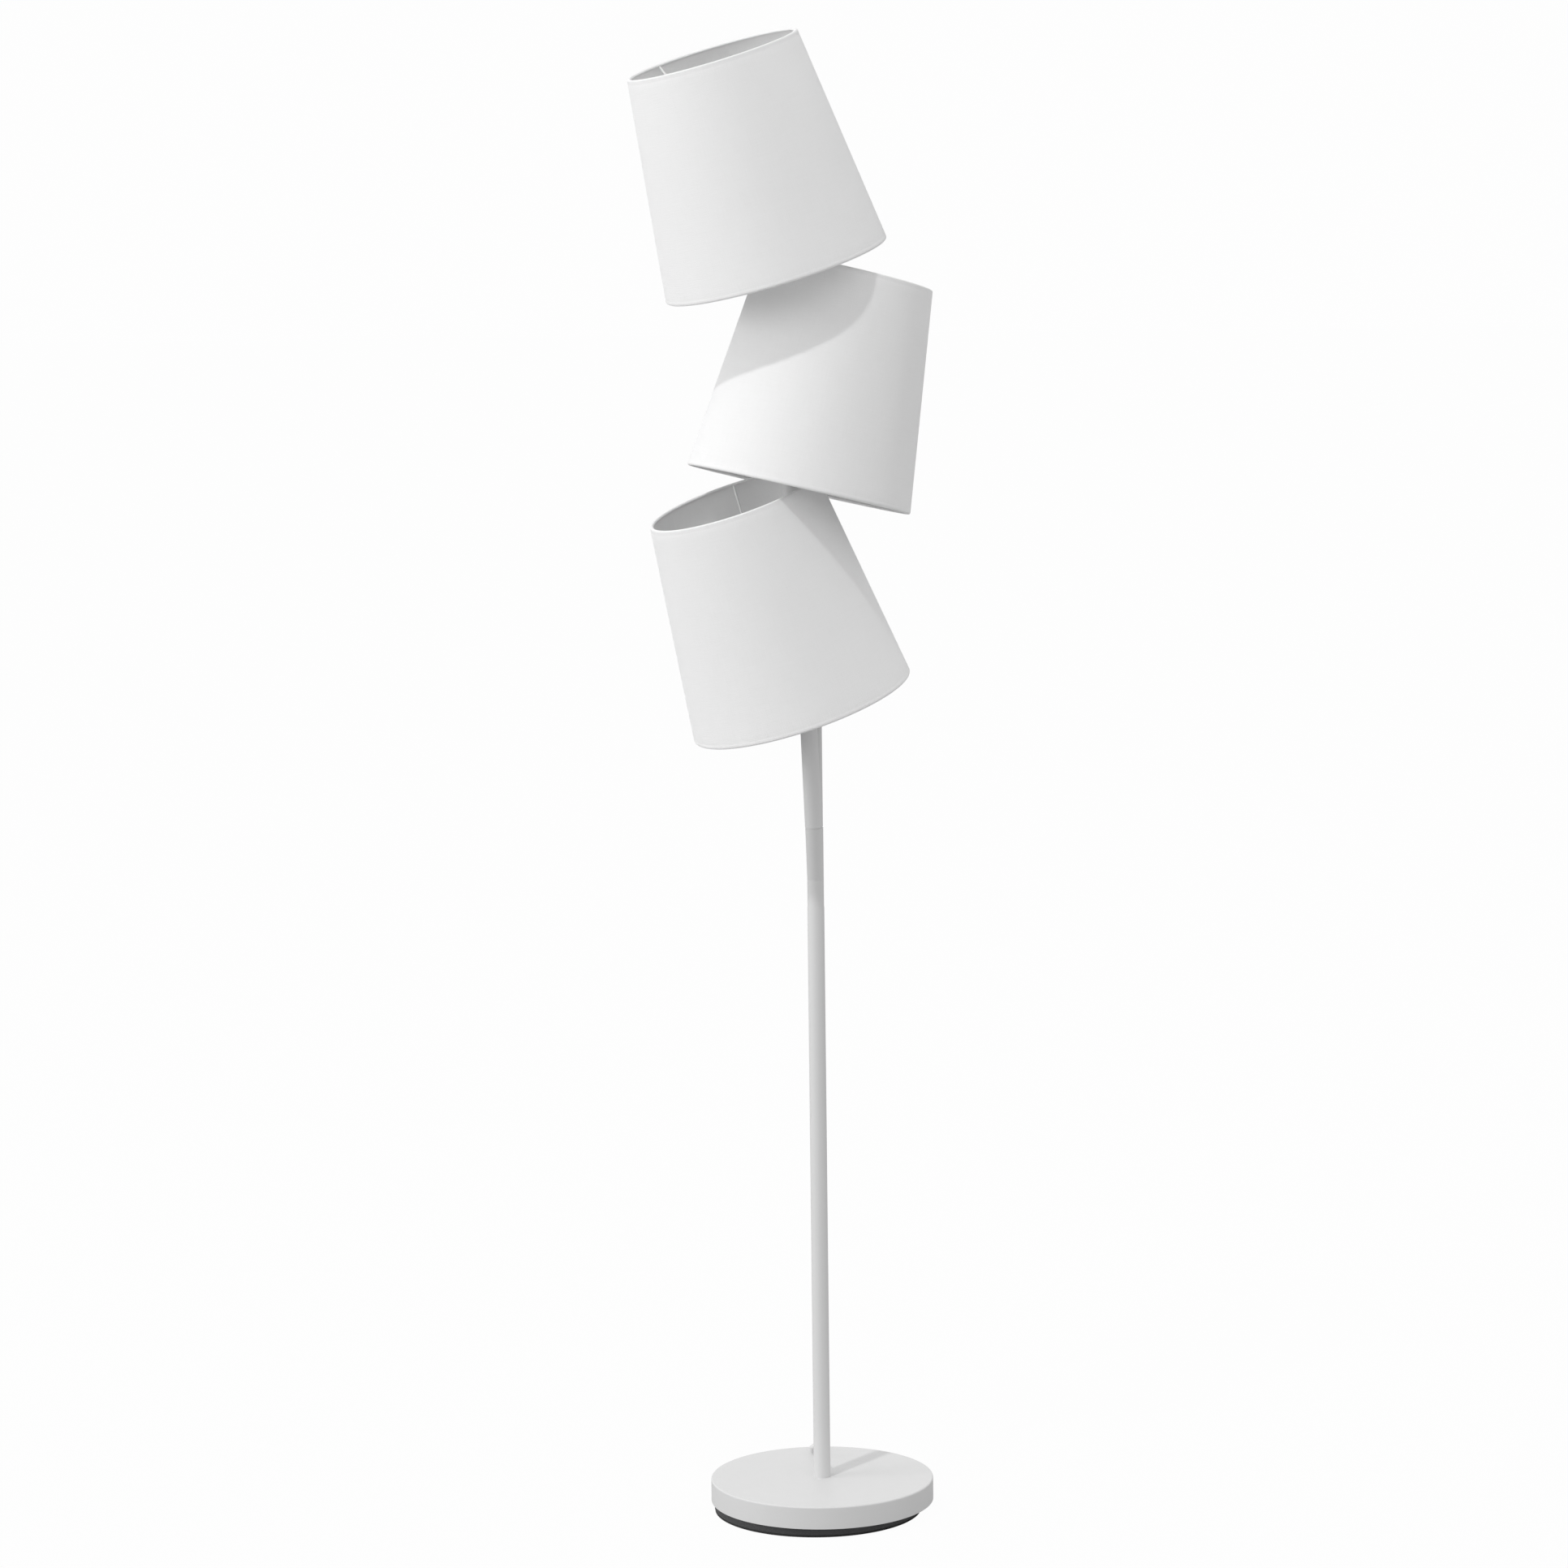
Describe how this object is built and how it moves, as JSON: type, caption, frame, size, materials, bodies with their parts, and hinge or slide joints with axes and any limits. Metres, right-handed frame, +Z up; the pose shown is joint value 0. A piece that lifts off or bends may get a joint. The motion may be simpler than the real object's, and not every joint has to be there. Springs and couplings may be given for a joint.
{
  "type": "multi-shade floor lamp",
  "caption": "Free-standing floor lamp: a round weighted base, a thin pole and tapered fabric shades stacked one above the other on bent stems and tilted left, right and left.",
  "frame": {"origin": "on the floor, under the axis of the pole", "axes": "+Z up along the pole; +Y towards the back, where the cord leaves the pole; +X to the right as seen from the front. The shades tilt in the upright plane through the pole turned 22 degrees from +X towards +Y"},
  "size_m": [0.3146, 0.3327, 1.5842],
  "materials": {
    "white_metal": "satin white powder coat",
    "cast_iron": "black paint",
    "felt": "black felt",
    "zinc_steel": "zinc plated",
    "brass": "plain",
    "bulb_cap_metal": "satin",
    "pin_metal": "nickel plated",
    "white_plastic": "satin",
    "ivory_plastic": "matt",
    "lead_sleeve": "silicone sleeve",
    "white_cord": "matt white sheath",
    "white_wire": "white coated wire",
    "shade_fabric": "fine plain weave, white",
    "opal_glass": "opal"
  },
  "bodies": {
    "stand": {"base_pad": "felt", "base_weight": "cast_iron", "base_washer": "zinc_steel", "base_bolt": "zinc_steel", "base_cover": "white_metal", "foot_insert": "zinc_steel", "lower_tube": "white_metal", "cord_bushing": "white_plastic", "supply_lead": "lead_sleeve", "lead_splice": "ivory_plastic", "pole_coupler": "white_metal", "fork": "white_metal", "front_stem": "white_metal", "rear_stem": "white_metal", "rear_reducer": "zinc_steel", "stem_junction": "white_metal", "middle_arm": "white_metal", "top_arm": "white_metal", "front_lead": "lead_sleeve", "rear_lead": "lead_sleeve", "lower_holder_cap": "white_plastic", "middle_holder_cap": "white_plastic", "top_holder_cap": "white_plastic", "lower_holder_shell": "white_plastic", "middle_holder_shell": "white_plastic", "top_holder_shell": "white_plastic", "contact_sleeves": "brass", "lower_ring_nut": "white_plastic", "middle_ring_nut": "white_plastic", "top_ring_nut": "white_plastic", "lower_bulb": "opal_glass", "middle_bulb": "opal_glass", "top_bulb": "opal_glass", "bulb_caps": "bulb_cap_metal", "cord_run_pole": "white_cord", "switch_lower_shell": "white_plastic", "switch_insert": "ivory_plastic", "switch_upper_shell": "white_plastic", "cord_run_switch": "white_cord", "cord_coil": "white_cord", "cord_tail": "white_cord", "plug_body": "white_plastic", "plug_pins": "pin_metal"},
    "lower_shade": {"lower_shade_cover": "shade_fabric", "lower_spider": "white_wire", "lower_bottom_ring": "white_wire"},
    "middle_shade": {"middle_shade_cover": "shade_fabric", "middle_spider": "white_wire", "middle_bottom_ring": "white_wire"},
    "top_shade": {"top_shade_cover": "shade_fabric", "top_spider": "white_wire", "top_bottom_ring": "white_wire"},
    "switch_button": {"switch_button": "ivory_plastic"}
  },
  "joints": [
    {"name": "lower_shade_turn", "type": "hinge", "parent": "stand", "child": "lower_shade", "pos_m": [-0.01196, -0.00483, 0.875], "axis": [-0.2973, -0.1201, 0.9472], "range_deg": [-70, 7]},
    {"name": "middle_shade_turn", "type": "hinge", "parent": "stand", "child": "middle_shade", "pos_m": [-0.01307, -0.00528, 1.1039], "axis": [0.229, 0.0925, 0.969], "range_deg": [-48, 48]},
    {"name": "top_shade_turn", "type": "hinge", "parent": "stand", "child": "top_shade", "pos_m": [-0.03356, -0.01356, 1.3339], "axis": [-0.2711, -0.1095, 0.9563], "continuous": true},
    {"name": "switch_press", "type": "slide", "parent": "stand", "child": "switch_button", "axis": [0, 0, -1], "range_m": [0, 0.0025], "stiffness_N_per_m": 400}
  ]
}
